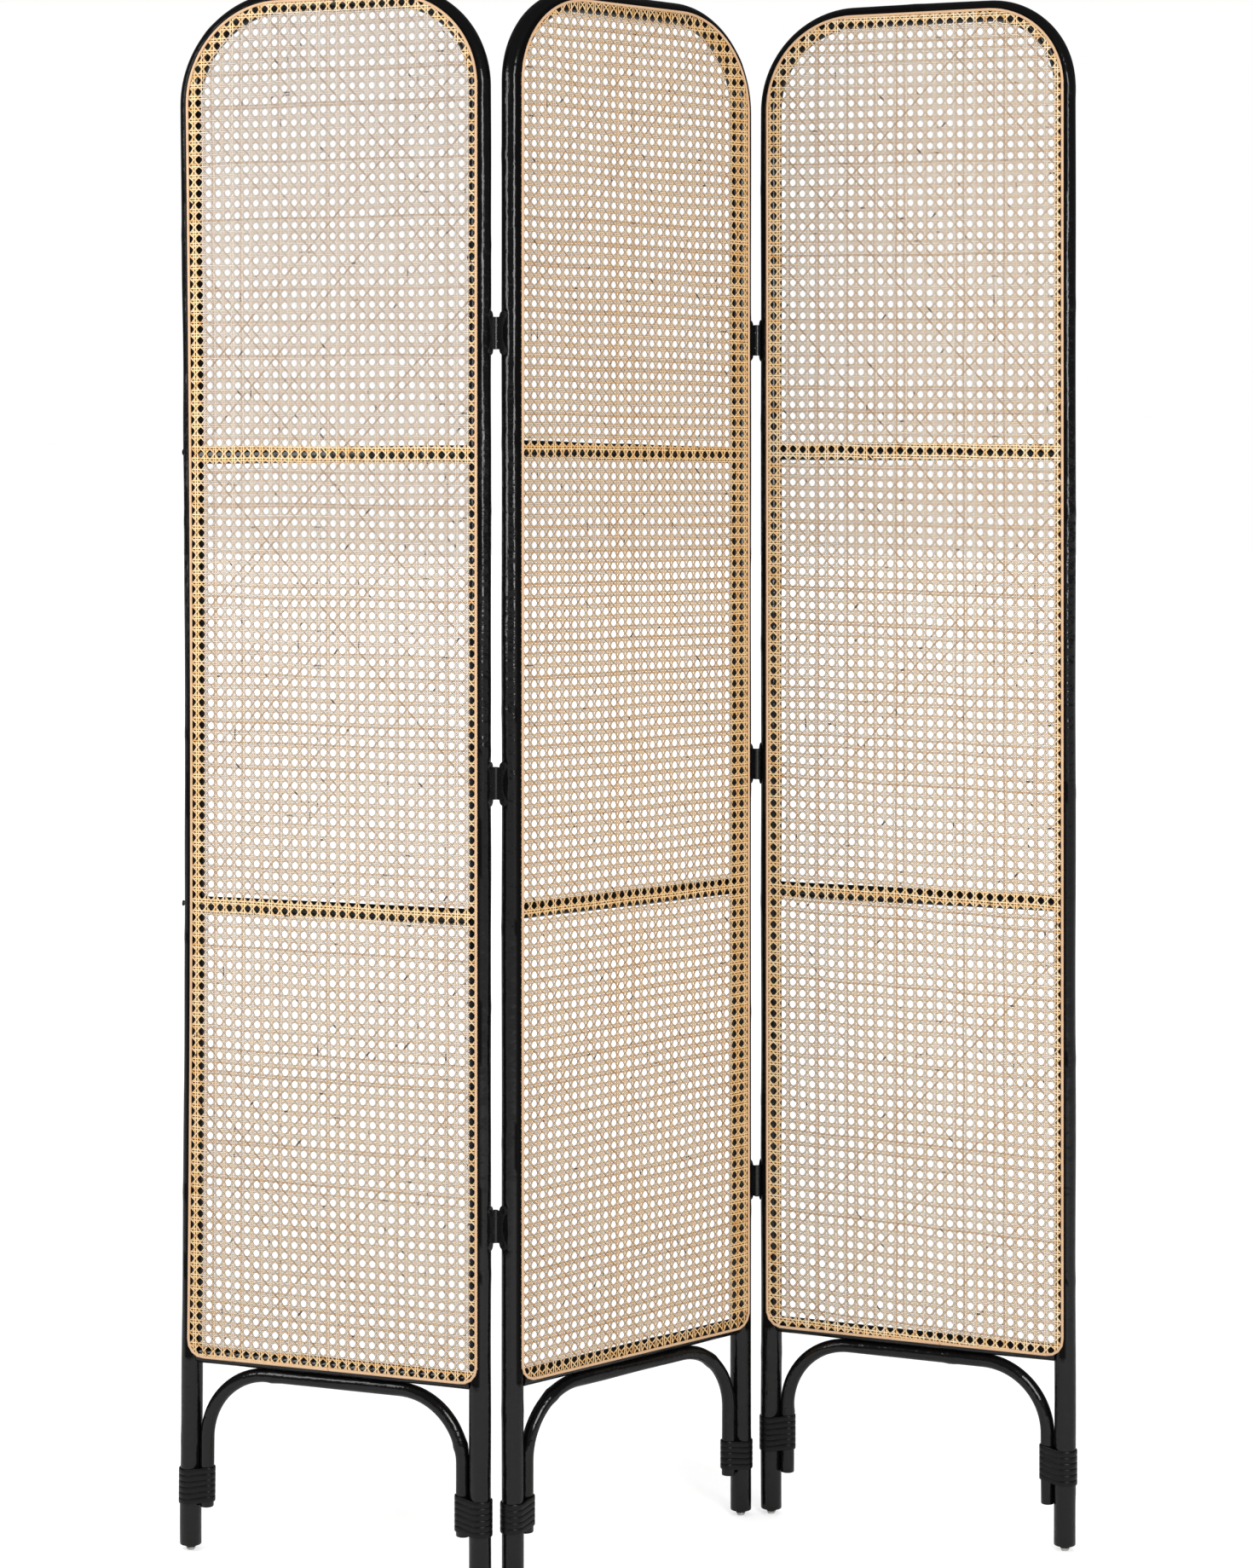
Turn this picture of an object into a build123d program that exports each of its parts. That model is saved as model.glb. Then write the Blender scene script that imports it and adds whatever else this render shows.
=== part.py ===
# Folding screen of three panels: bent black rattan poles with cane webbing on the front.
# Millimetres, +Z up, the front looks towards -Y, origin on the floor under the middle of the screen.
import os
from math import asin, cos, hypot, radians, sin, sqrt

from build123d import *

os.makedirs("parts", exist_ok=True)

# Overall sizes
screen_height = 1800.0
panel_width = 388.0  # outside of one pole to the outside of the other
pole_diameter = 25.0
rail_diameter = 19.0
arch_rod_diameter = 16.0

# Heights above the floor
cane_lower_edge = 226.0
bay_height = 523.0  # cane edge to lower rail, and lower rail to upper rail
arch_end_height = 52.0
hinge_heights = {"lower": 400.0, "centre": 899.0, "upper": 1406.0}

# How the panels stand and how each one was bent by hand
panel_turn = {"left": -20.2, "middle": 43.1, "right": -22.9}  # degrees from a straight row
pole_bends = {"left": (115.0, 104.0), "middle": (97.0, 110.0), "right": (106.0, 90.0)}
lashing_height = {"left": 55.0, "middle": 57.0, "right": 77.0}
binding_seam = {"left": 0.0, "middle": -26.0, "right": 34.0}
arch_bend = 78.0

# Cane sheet and the peel that covers its edge
cane_thickness = 1.4
cane_overlap = 2.0  # the sheet reaches this far past the centre line of the poles
cane_corner = 20.0
cane_seat_depth = 1.1  # flat planed on the front of the poles
net_columns = 8  # openings across a bay, which stand for the open weave
net_rows = 12  # openings up a bay
net_share = 0.63  # of the grid, each way, that is open
binding_width = 4.2
binding_height = 1.5
binding_round = 1.2
seam_gap = 0.4
seam_slant = -45.0
seam_length = 17.0  # cuts right across the binding

# Lashing of flat peel
peel_width = 5.9
peel_thickness = 1.6
peel_gap = 0.85  # between level turns
peel_end = 3.0  # straight at each end
lashing_turns = {"left": 6, "middle": 5, "right": 6}

# Butterfly hinges
leaf_thickness = 1.2
leaf_width = 19.6  # pin centre to the tips of the wings
leaf_waist = 10.5
leaf_root = 6.0  # the wings spread from here
wing_height = 19.0  # hinge centre to the tips of the wings
wing_crown = 25.0  # hinge centre to the highest point of the wings
wing_crown_place = 13.0
wing_tip_round = 2.0
knuckle_diameter = 6.0
outer_knuckle = 9.0
inner_knuckle = 18.0
pin_diameter = 2.5
pin_end_round = 0.6
hinge_screw_place = 12.5  # pin centre to the screws
hinge_screw_rise = 18.5  # hinge centre to the screws

# Screws: head diameter, shank diameter, length
hinge_screw = (5.0, 2.8, 13.0)
rail_screw = (7.0, 4.0, 48.0)
arch_screw = (6.0, 3.5, 27.0)
screw_sink = 0.1  # heads of the hinge screws lie this far below the leaves
rail_screw_depth = 3.5  # heads of the rail screws lie this far inside the poles
arch_screw_depth = 1.5
arch_screw_place = 55.0

# Foot glides
glide_height = 6.5
glide_top = 14.0
glide_bottom = 8.0
glide_nail = 3.0
glide_nail_length = 20.0

# Clearances
closed_gap = 0.6  # between two panels in a straight row
fold_clearance = 0.35  # each panel keeps this far from the hinge line when folded
contact_gap = 0.2  # rod beside pole and rod under rail
cope_gap = 0.1
wrap_gap = 0.15
pin_clearance = 0.05
knuckle_gap = 0.3
knuckle_clearance = 0.25
screw_clearance = 0.05
mortise_clearance = 0.3

# Measuring and curve fitting
samples_per_turn = 40
flat_turn = 1e-9  # two directions this close count as one

# Sizes that follow from the ones above
pole_radius = pole_diameter / 2
rail_radius = rail_diameter / 2
arch_radius = arch_rod_diameter / 2
knuckle_radius = knuckle_diameter / 2
pole_centre = panel_width / 2 - pole_radius
hinge_line = (panel_width + closed_gap) / 2
pole_top = screen_height - pole_radius
cane_seat = pole_radius - cane_seat_depth
cane_front = cane_seat + cane_thickness
rail_forward = cane_seat - rail_radius
bottom_rail_height = cane_lower_edge + cane_overlap
rail_heights = {
    "upper_cross": cane_lower_edge + 2 * bay_height,
    "lower_cross": cane_lower_edge + bay_height,
    "bottom": bottom_rail_height,
}
arch_drop = sqrt((rail_radius + arch_radius + contact_gap) ** 2 - rail_forward**2)
arch_top = bottom_rail_height - arch_drop
rod_spacing = pole_radius + arch_radius + contact_gap
arch_centre = pole_centre - rod_spacing
lashing_reach = pole_radius + wrap_gap + peel_thickness
pin_offset = max(lashing_reach, cane_front + binding_height) + fold_clearance
barrel_length = 2 * (outer_knuckle + knuckle_gap) + inner_knuckle
leaf_seat = hinge_line - closed_gap / 2 - leaf_thickness

# Each joint: its two panels with the edge that meets the joint, and the side its pin lies on
joints = {
    "left_joint": {"edges": {"left": 1, "middle": -1}, "pin_side": 1},
    "right_joint": {"edges": {"middle": 1, "right": -1}, "pin_side": -1},
}


def plan_plane(turn, origin):
    """Floor plane of a panel: x runs along the panel, y to its back, z up."""
    along = (cos(radians(turn)), sin(radians(turn)), 0)
    return Plane(origin=origin, x_dir=along, z_dir=(0, 0, 1))


def pin_point(joint, panel, height=0):
    """Hinge line of a joint in the panel's own coordinates."""
    spec = joints[joint]
    return (spec["edges"][panel] * hinge_line, spec["pin_side"] * pin_offset, height)


def plan_against(neighbour, panel, joint, neighbour_plan):
    """Floor plane of a panel whose hinge line meets that of its neighbour."""
    pin = neighbour_plan.from_local_coords(pin_point(joint, neighbour))
    turned = plan_plane(panel_turn[panel], (0, 0, 0))
    return plan_plane(panel_turn[panel], pin - turned.from_local_coords(pin_point(joint, panel)))


def standing_plans():
    """Floor planes of the three panels, with the middle of the screen's outline at the origin."""
    plans = {"middle": plan_plane(panel_turn["middle"], (0, 0, 0))}
    plans["left"] = plan_against("middle", "left", "left_joint", plans["middle"])
    plans["right"] = plan_against("middle", "right", "right_joint", plans["middle"])
    legs = [plans[side].from_local_coords((x, 0, 0)) for side in plans for x in (-pole_centre, pole_centre)]
    middle_x = (min(leg.X for leg in legs) + max(leg.X for leg in legs)) / 2
    middle_y = (min(leg.Y for leg in legs) + max(leg.Y for leg in legs)) / 2
    shift = Vector(middle_x, middle_y, 0)
    return {side: plan_plane(panel_turn[side], plans[side].origin - shift) for side in panel_turn}


plans = standing_plans()


def face_plane(plan, forward=0.0):
    """Upright plane that looks to the front of the panel: x along the panel, y up."""
    return Plane(origin=plan.from_local_coords((0, -forward, 0)), x_dir=plan.x_dir, z_dir=-plan.y_dir)


def end_plane(plan, along):
    """Upright plane across the panel: x to the back, y up, looking along the panel."""
    return Plane(origin=plan.from_local_coords((along, 0, 0)), x_dir=plan.y_dir, z_dir=plan.x_dir)


def screw_plane(plan, point, outward):
    """Plane of a screw head that looks out of the surface in the panel's own direction."""
    direction = plan.x_dir * outward[0] + plan.y_dir * outward[1] + plan.z_dir * outward[2]
    return Plane(origin=plan.from_local_coords(point), z_dir=direction)


def hinge_edges(side):
    """Joints of a panel, each with the edge of the panel that it is on."""
    return [(name, spec["edges"][side]) for name, spec in joints.items() if side in spec["edges"]]


def hinge_screw_planes(plan, joint, edge, heights):
    """Heads of the hinge screws on one edge of a panel, flush with the leaves."""
    back = joints[joint]["pin_side"] * (pin_offset - hinge_screw_place)
    along = edge * (leaf_seat + leaf_thickness - screw_sink)
    planes = []
    for height in heights:
        for rise in (-hinge_screw_rise, hinge_screw_rise):
            planes.append(screw_plane(plan, (along, back, height + rise), (edge, 0, 0)))
    return planes


def all_hinge_screw_planes(side):
    """Heads of all hinge screws in a panel."""
    planes = []
    for joint, edge in hinge_edges(side):
        planes.extend(hinge_screw_planes(plans[side], joint, edge, hinge_heights.values()))
    return planes


def rail_screw_planes(plan, heights):
    """Heads of the screws that hold the rails, sunk in the outer sides of the poles."""
    surface = pole_centre + sqrt(pole_radius**2 - rail_forward**2)
    planes = []
    for height in heights:
        for edge in (-1, 1):
            point = (edge * (surface - rail_screw_depth), -rail_forward, height)
            planes.append(screw_plane(plan, point, (edge, 0, 0)))
    return planes


def arch_screw_planes(plan):
    """Heads of the screws that hold the arch to the bottom rail, sunk in its underside."""
    head = arch_top - arch_radius + arch_screw_depth
    return [screw_plane(plan, (x, 0, head), (0, 0, -1)) for x in (-arch_screw_place, arch_screw_place)]


def add_screws(planes, size, slack=0.0, open_end=0.0, mode=Mode.ADD):
    """Countersunk screws, or with slack the holes for them, open above the head."""
    head, shank, length = size
    head_height = (head - shank) / 2
    level_out = (Align.CENTER, Align.CENTER, Align.MIN)
    level_in = (Align.CENTER, Align.CENTER, Align.MAX)
    for plane in planes:
        with Locations(plane):
            Cylinder(shank / 2 + slack, length + slack, align=level_in, mode=mode)
            Cone(shank / 2 + slack, head / 2 + slack, head_height, align=level_in, mode=mode)
            if open_end:
                Cylinder(head / 2 + slack, open_end, align=level_out, mode=mode)


def pole_frame(side):
    """One pole bent to an inverted U, planed for the cane and let in for the hinges."""
    plan = plans[side]
    with BuildPart() as pole:
        with BuildLine(face_plane(plan)) as route:
            FilletPolyline(
                (-pole_centre, glide_height),
                (-pole_centre, pole_top),
                (pole_centre, pole_top),
                (pole_centre, glide_height),
                radius=pole_bends[side],
            )
        with BuildSketch(Plane(origin=route.line @ 0, z_dir=route.line % 0)):
            Circle(pole_radius)
        sweep()
        seat_height = screen_height - cane_lower_edge
        with BuildSketch(face_plane(plan, cane_seat)):
            with Locations((0, cane_lower_edge + seat_height / 2)):
                Rectangle(panel_width, seat_height)
        extrude(amount=cane_seat_depth, mode=Mode.SUBTRACT)
        for joint, edge in hinge_edges(side):
            with BuildSketch(end_plane(plan, edge * leaf_seat)):
                for height in hinge_heights.values():
                    with Locations((0, height)):
                        Rectangle(pole_diameter, 2 * (wing_crown + mortise_clearance))
            extrude(amount=edge * leaf_thickness, mode=Mode.SUBTRACT)
        add_screws(all_hinge_screw_planes(side), hinge_screw, screw_clearance, mode=Mode.SUBTRACT)
        rail_planes = rail_screw_planes(plan, rail_heights.values())
        add_screws(rail_planes, rail_screw, screw_clearance, pole_radius, mode=Mode.SUBTRACT)
        for x in (-pole_centre, pole_centre):
            with Locations(plan.location * Location((x, 0, glide_height))):
                Cylinder(
                    glide_nail / 2 + screw_clearance,
                    glide_nail_length + screw_clearance,
                    align=(Align.CENTER, Align.CENTER, Align.MIN),
                    mode=Mode.SUBTRACT,
                )
    return pole


def cross_rail(side, height):
    """Round rail behind the cane, its ends coped to the poles."""
    plan = plans[side]
    with BuildPart() as rail:
        with BuildSketch(end_plane(plan, -pole_centre)):
            with Locations((-rail_forward, height)):
                Circle(rail_radius)
        extrude(amount=2 * pole_centre)
        with BuildSketch(plan.offset(height - rail_radius)):
            with Locations((-pole_centre, 0), (pole_centre, 0)):
                Circle(pole_radius + cope_gap)
        extrude(amount=rail_diameter, mode=Mode.SUBTRACT)
        add_screws(rail_screw_planes(plan, [height]), rail_screw, screw_clearance, mode=Mode.SUBTRACT)
        if height == bottom_rail_height:
            add_screws(arch_screw_planes(plan), arch_screw, screw_clearance, mode=Mode.SUBTRACT)
    return rail


def leg_arch(side):
    """Thin rod bent under the bottom rail, its ends beside the legs."""
    plan = plans[side]
    with BuildPart() as arch:
        with BuildLine(face_plane(plan)) as route:
            FilletPolyline(
                (-arch_centre, arch_end_height),
                (-arch_centre, arch_top),
                (arch_centre, arch_top),
                (arch_centre, arch_end_height),
                radius=arch_bend,
            )
        with BuildSketch(Plane(origin=route.line @ 0, z_dir=route.line % 0)):
            Circle(arch_radius)
        sweep()
        add_screws(arch_screw_planes(plan), arch_screw, screw_clearance, arch_radius, mode=Mode.SUBTRACT)
    return arch


def lashing_route(plan, edge, base, turns):
    """Points and directions of a whole winding: level round leg and rod, climbing on the straight runs."""
    leg = pole_radius + wrap_gap + peel_thickness / 2
    rod = arch_radius + wrap_gap + peel_thickness / 2
    lean = asin((leg - rod) / rod_spacing)
    side_on, across = sin(lean), cos(lean)
    # One turn seen from above, from the leg towards the rod: place, direction and climbs done
    turn = [
        (leg * side_on, leg * across, -across, side_on, 0),
        (-leg, 0, 0, -1, 0),
        (leg * side_on, -leg * across, across, side_on, 0),
        (rod_spacing + rod * side_on, -rod * across, across, side_on, 1),
        (rod_spacing + rod, 0, 0, 1, 1),
        (rod_spacing + rod * side_on, rod * across, -across, side_on, 1),
    ]
    climb = (peel_width + peel_gap) / 2
    route = []
    for number in range(turns):
        for x, y, along_x, along_y, climbs in turn:
            height = base + peel_width / 2 + climb * (2 * number + climbs)
            place = plan.from_local_coords((edge * (pole_centre - x), y, height))
            route.append((place, plan.x_dir * (-edge * along_x) + plan.y_dir * along_y))
    return route


def biarc_joint(start, start_direction, end, end_direction):
    """Point and direction where two arcs meet that join two directed points."""
    chord = end - start
    both = start_direction + end_direction
    square = both.dot(both) - 4
    linear = -2 * chord.dot(both)
    constant = chord.dot(chord)
    if abs(square) < flat_turn:
        reach = -constant / linear
    else:
        reach = (-linear - sqrt(linear**2 - 4 * square * constant)) / (2 * square)
    first = start + start_direction * reach
    second = end - end_direction * reach
    return (first + second) / 2, (second - first).normalized()


def least_gap(winding, turns):
    """Least free distance between neighbouring turns of a peel, measured between its two edges."""
    count = samples_per_turn * turns
    tops = []
    bottoms = []
    for number in range(count + 1):
        heading = winding.tangent_at(number / count)
        upward = heading.cross(Vector(0, 0, 1)).cross(heading).normalized()
        tops.append(winding.position_at(number / count) + upward * (peel_width / 2))
        bottoms.append(winding.position_at(number / count) - upward * (peel_width / 2))
    spans = list(zip(bottoms, bottoms[1:]))
    half_turn = samples_per_turn // 2
    gaps = []
    for number, top in enumerate(tops):
        for start, end in spans[number + half_turn : number + 3 * half_turn]:
            share = (top - start).dot(end - start) / (end - start).dot(end - start)
            nearest = start + (end - start) * min(max(share, 0), 1)
            gaps.append((top - nearest).length)
    return min(gaps)


def lashing(side, edge):
    """One strand of flat peel wound about the leg and the end of the arch."""
    turns = lashing_turns[side]
    stations = lashing_route(plans[side], edge, lashing_height[side], turns)
    first, heading = stations[0]
    last, last_heading = stations[-1]
    with BuildPart() as peel:
        with BuildLine() as route:
            Line(first - heading * peel_end, first)
            for (place, direction), (next_place, next_direction) in zip(stations, stations[1:]):
                joint, turned = biarc_joint(place, direction, next_place, next_direction)
                TangentArc(place, joint, tangent=direction)
                TangentArc(joint, next_place, tangent=turned)
            Line(last, last + last_heading * peel_end)
        winding = route.wire()
        with BuildSketch(Plane(origin=winding @ 0, x_dir=(0, 0, 1), z_dir=heading)):
            Rectangle(peel_width, peel_thickness)
        sweep(path=winding)
    section_share = peel.part.volume / (winding.length * peel_width * peel_thickness)
    print(
        f"{side} lashing: least gap {least_gap(winding, turns):.2f} mm, "
        f"length {winding.length:.0f} mm, volume over section times length {section_share:.4f}"
    )
    return peel


def cane_outline(side):
    """Corner points and corner radii of the cane sheet."""
    half = pole_centre + cane_overlap
    top = pole_top + cane_overlap
    left_bend, right_bend = pole_bends[side]
    points = [(-half, cane_lower_edge), (half, cane_lower_edge), (half, top), (-half, top)]
    radii = [cane_corner, cane_corner, right_bend + cane_overlap, left_bend + cane_overlap]
    return points, radii


def inside_bend(side, x, z):
    """Whether a point lies inside the curve of the bent pole."""
    left_bend, right_bend = pole_bends[side]
    bend = left_bend if x < 0 else right_bend
    over_x = abs(x) - pole_centre + bend
    over_z = z - pole_top + bend
    return min(over_x, over_z) < 0 or hypot(over_x, over_z) < bend - pole_radius


def bay_openings(side, low, high):
    """Size and middles of the openings in one bay, left out where the pole bends across them."""
    half_bay = pole_centre - pole_radius
    step_x = 2 * half_bay / net_columns
    step_z = (high - low) / net_rows
    wide, tall = net_share * step_x, net_share * step_z
    middles = []
    for row in range(net_rows):
        z = low + (row + 0.5) * step_z
        for column in range(net_columns):
            x = (column + 0.5) * step_x - half_bay
            outer_x = x + wide / 2 if x > 0 else x - wide / 2
            if inside_bend(side, outer_x, z + tall / 2):
                middles.append((x, z))
    return wide, tall, middles


def cane_webbing(side):
    """Woven sheet on the planed front of the poles, its open weave as a plain grid of openings."""
    points, radii = cane_outline(side)
    rails = sorted(rail_heights.values())
    bay_tops = [height - rail_radius for height in rails[1:]] + [pole_top - pole_radius]
    with BuildPart() as cane:
        with BuildSketch(face_plane(plans[side], cane_seat)):
            with BuildLine():
                FilletPolyline(*points, radius=radii, close=True)
            make_face()
            for rail, bay_top in zip(rails, bay_tops):
                wide, tall, middles = bay_openings(side, rail + rail_radius, bay_top)
                with Locations(*middles):
                    Rectangle(wide, tall, mode=Mode.SUBTRACT)
        extrude(amount=cane_thickness)
    return cane


def cane_binding(side):
    """Half-round peel along the edge of the cane, its two ends meeting in a slanted seam."""
    plan = plans[side]
    points, radii = cane_outline(side)
    with BuildPart() as binding:
        with BuildSketch(face_plane(plan, cane_front)):
            with BuildLine():
                FilletPolyline(*points, radius=radii, close=True)
            make_face()
            offset(amount=-binding_width, mode=Mode.SUBTRACT)
        extrude(amount=binding_height)
        front = binding.faces().sort_by(Axis(plan.origin, -plan.y_dir))[-1]
        fillet(front.edges(), binding_round)
        with BuildSketch(face_plane(plan, cane_front)):
            with Locations(Location((binding_seam[side], cane_lower_edge, 0), (0, 0, seam_slant))):
                Rectangle(seam_gap, seam_length)
        extrude(amount=binding_height, mode=Mode.SUBTRACT)
    return binding


def foot_glides(side):
    """Two tapered glides, each with a nail in the end of a leg."""
    plan = plans[side]
    upright = (Align.CENTER, Align.CENTER, Align.MIN)
    with BuildPart() as glides:
        for x in (-pole_centre, pole_centre):
            with Locations(plan.location * Location((x, 0, 0))):
                Cone(glide_bottom / 2, glide_top / 2, glide_height, align=upright)
                Cylinder(glide_nail / 2, glide_height + glide_nail_length, align=upright)
    return glides


def screws(planes, size):
    """A group of equal countersunk screws."""
    with BuildPart() as group:
        add_screws(planes, size)
    return group


def knuckle_spans(outer):
    """Lower and upper ends of the knuckles of a leaf, from the hinge centre."""
    if not outer:
        return [(-inner_knuckle / 2, inner_knuckle / 2)]
    inside = inner_knuckle / 2 + knuckle_gap
    return [(-inside - outer_knuckle, -inside), (inside, inside + outer_knuckle)]


def hinge_leaf(side, joint, height, outer):
    """Butterfly leaf let into the pole, with its knuckles round the pin."""
    plan = plans[side]
    edge = joints[joint]["edges"][side]
    pin_side = joints[joint]["pin_side"]
    pin_x, pin_y, _ = pin_point(joint, side)
    half_barrel = barrel_length / 2
    low_root = (leaf_root, -half_barrel)
    high_root = (leaf_root, half_barrel)
    low_tip = (leaf_width, -wing_height)
    high_tip = (leaf_width, wing_height)
    inward = plan.y_dir * -pin_side
    corner = plan.from_local_coords((edge * leaf_seat, pin_y, height))
    with BuildPart() as leaf:
        with BuildSketch(Plane(origin=corner, x_dir=inward, z_dir=inward.cross(plan.z_dir))) as plate:
            with BuildLine():
                Polyline(low_root, (0, -half_barrel), (0, half_barrel), high_root)
                ThreePointArc(high_root, (wing_crown_place, wing_crown), high_tip)
                ThreePointArc(high_tip, (leaf_waist, 0), low_tip)
                ThreePointArc(low_tip, (wing_crown_place, -wing_crown), low_root)
            make_face()
            fillet(plate.vertices().group_by(Axis.X)[-1], wing_tip_round)
        extrude(amount=leaf_thickness, dir=plan.x_dir * edge)
        for low, high in knuckle_spans(not outer):
            with BuildSketch(plan.offset(height + low - knuckle_gap)):
                with Locations((pin_x, pin_y)):
                    Circle(knuckle_radius + knuckle_clearance)
            extrude(amount=high - low + 2 * knuckle_gap, mode=Mode.SUBTRACT)
        for low, high in knuckle_spans(outer):
            with BuildSketch(plan.offset(height + low)):
                with Locations((pin_x, pin_y)):
                    Circle(knuckle_radius)
            extrude(amount=high - low)
        with BuildSketch(plan.offset(height - half_barrel)):
            with Locations((pin_x, pin_y)):
                Circle(pin_diameter / 2 + pin_clearance)
        extrude(amount=barrel_length, mode=Mode.SUBTRACT)
        planes = hinge_screw_planes(plan, joint, edge, [height])
        add_screws(planes, hinge_screw, screw_clearance, leaf_thickness, mode=Mode.SUBTRACT)
    return leaf


def hinge_pin(joint, height):
    """Plain pin with rounded ends through the knuckles of a hinge."""
    plan = plans["middle"]
    pin_x, pin_y, _ = pin_point(joint, "middle")
    with BuildPart() as pin:
        with BuildSketch(plan.offset(height - barrel_length / 2)):
            with Locations((pin_x, pin_y)):
                Circle(pin_diameter / 2)
        extrude(amount=barrel_length)
        fillet(pin.edges().filter_by(GeomType.CIRCLE), pin_end_round)
    return pin


def finish(piece, name):
    """Label a finished piece and write it."""
    piece.part.label = name
    export_step(piece.part, f"parts/{name}.step")


for side, plan in plans.items():
    finish(pole_frame(side), f"{side}_pole_frame")
    for rail_name, rail_height in rail_heights.items():
        finish(cross_rail(side, rail_height), f"{side}_{rail_name}_rail")
    finish(leg_arch(side), f"{side}_leg_arch")
    finish(lashing(side, -1), f"{side}_lashing_left_leg")
    finish(lashing(side, 1), f"{side}_lashing_right_leg")
    finish(cane_webbing(side), f"{side}_cane_webbing")
    finish(cane_binding(side), f"{side}_cane_binding")
    finish(foot_glides(side), f"{side}_foot_glides")
    finish(screws(rail_screw_planes(plan, rail_heights.values()), rail_screw), f"{side}_rail_screws")
    finish(screws(arch_screw_planes(plan), arch_screw), f"{side}_arch_screws")
    finish(screws(all_hinge_screw_planes(side), hinge_screw), f"{side}_hinge_screws")

for joint, spec in joints.items():
    for hinge_name, hinge_height in hinge_heights.items():
        for side in spec["edges"]:
            leaf = hinge_leaf(side, joint, hinge_height, outer=side == "middle")
            finish(leaf, f"{joint}_{hinge_name}_leaf_on_{side}")
        finish(hinge_pin(joint, hinge_height), f"{joint}_{hinge_name}_pin")
    pin = plans["middle"].from_local_coords(pin_point(joint, "middle"))
    print(f"{joint}: hinge line at x {pin.X:.3f}, y {pin.Y:.3f}")

print(f"pin offset {pin_offset:.2f}, arch top {arch_top:.2f}, cane front {cane_front:.2f}")
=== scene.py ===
import math

import bmesh
import bpy
import numpy as np
from mathutils import Matrix, Vector


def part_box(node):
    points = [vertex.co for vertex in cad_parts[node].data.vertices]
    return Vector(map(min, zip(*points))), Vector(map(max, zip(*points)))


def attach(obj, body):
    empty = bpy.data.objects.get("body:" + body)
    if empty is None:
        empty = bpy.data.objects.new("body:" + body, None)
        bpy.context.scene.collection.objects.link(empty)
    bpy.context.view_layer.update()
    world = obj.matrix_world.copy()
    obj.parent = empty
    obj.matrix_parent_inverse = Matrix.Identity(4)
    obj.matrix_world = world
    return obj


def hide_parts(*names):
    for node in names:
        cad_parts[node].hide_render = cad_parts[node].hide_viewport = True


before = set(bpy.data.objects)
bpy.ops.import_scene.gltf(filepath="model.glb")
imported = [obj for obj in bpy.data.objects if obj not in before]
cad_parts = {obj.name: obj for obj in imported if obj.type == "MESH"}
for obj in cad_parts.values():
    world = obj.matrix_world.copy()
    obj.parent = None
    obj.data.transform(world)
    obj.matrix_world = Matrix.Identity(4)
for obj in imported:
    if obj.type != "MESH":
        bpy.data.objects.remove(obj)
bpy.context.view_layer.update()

scene = bpy.context.scene
scene.view_settings.view_transform = "Standard"
mm = 0.001

# how each panel stands, is bent and is wound; hinges gives the edge and the side its pins lie on
panels = {
    "left": {"turn": -20.2, "bends": (115, 104), "turns": 6, "winding": 55, "hinges": {1: 1},
             "seed": 11, "bow": 6.0},
    "middle": {"turn": 43.1, "bends": (97, 110), "turns": 5, "winding": 57, "hinges": {-1: 1, 1: -1},
               "seed": 23},
    "right": {"turn": -22.9, "bends": (106, 90), "turns": 6, "winding": 77, "hinges": {-1: -1},
              "seed": 37},
}
# each sheet of cane was laid on a little differently: mm from row to row, the height of one row of holes and
# the place of one column, its left and right edges, and the stretch across where it is painted pale as if
# light came through from behind; then its golden share at the bottom and top, painted shade where a panel
# gets less light, and a factor on its strands' tones, also painted shade for the light a panel gets: higher
# gives paler strands; lay is how far its rows are drawn up at left and right, from height to height
sheets = {
    "left": {"up": 13.12, "holeRow": 1271.4, "holeColumn": -178.6, "edges": (-181.8, 183.5),
             "clear": (-163.7, 172.7), "shadedGold": (0.4, 0.05), "toneAndShade": 0.8,
             "lay": ((226, 0, -2), (502, 0, -2), (762, 1, -1), (1022, 0, -2), (1282, -1.5, -3),
                     (1672, -3, -3), (1790, -3.5, -3))},
    "middle": {"up": 13.18, "holeRow": 1271.5, "holeColumn": 170.9, "edges": (-179.3, 183.5),
               "clear": (-175.7, 153.0), "shadedGold": (0.55, 0.5), "toneAndShade": 0.38,
               "lay": ((226, 7.8, 12.5), (307, 7, 11), (502, 4.5, 7.5), (762, 3.5, 4), (1022, 2.5, 2),
                       (1152, 1, 0), (1282, -1, -3), (1412, -3.5, -6), (1672, -8, -7), (1790, -10, -8))},
    "right": {"up": 13.26, "holeRow": 1274.0, "holeColumn": -174.2, "edges": (-183.5, 183.5),
              "clear": (-162.8, 173.0), "shadedGold": (0.4, 0.3), "toneAndShade": 0.95,
              "lay": ((226, 2.5, -6), (502, 2.5, -4.5), (762, 2.5, -4), (1022, 1.5, -4.5), (1152, 2, -3.5),
                      (1412, 1.5, -1.5), (1790, 0.5, -2.5))},
}
hingeHeights = (400, 899, 1406)
poleCentre = 181.5
poleRadius = 12.5
caneSeat = 11.4     # the cane lies on a flat this far in front of the pole's middle
caneLow = 226
caneTop = 1789.5
caneOverlap = 2     # the cane reaches this far past the pole's middle
caneHalf = poleCentre + caneOverlap
weld = 0.0001       # points closer than this are one
fullTurn = 6.283
anyPhase = (0, 6.3)


def panelMatrix(side):
    low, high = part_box(side + "_foot_glides")
    middle = (low + high) / 2
    turn = Matrix.Rotation(math.radians(panels[side]["turn"]), 4, "Z")
    return Matrix.Translation((middle.x, middle.y, 0)) @ turn @ Matrix.Scale(mm, 4)


def linear(code):
    channels = [int(code[i:i + 2], 16) / 255 for i in (1, 3, 5)]
    curve = [c / 12.92 if c <= 0.04045 else ((c + 0.055) / 1.055) ** 2.4 for c in channels]
    return (*curve, 1.0)


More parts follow.
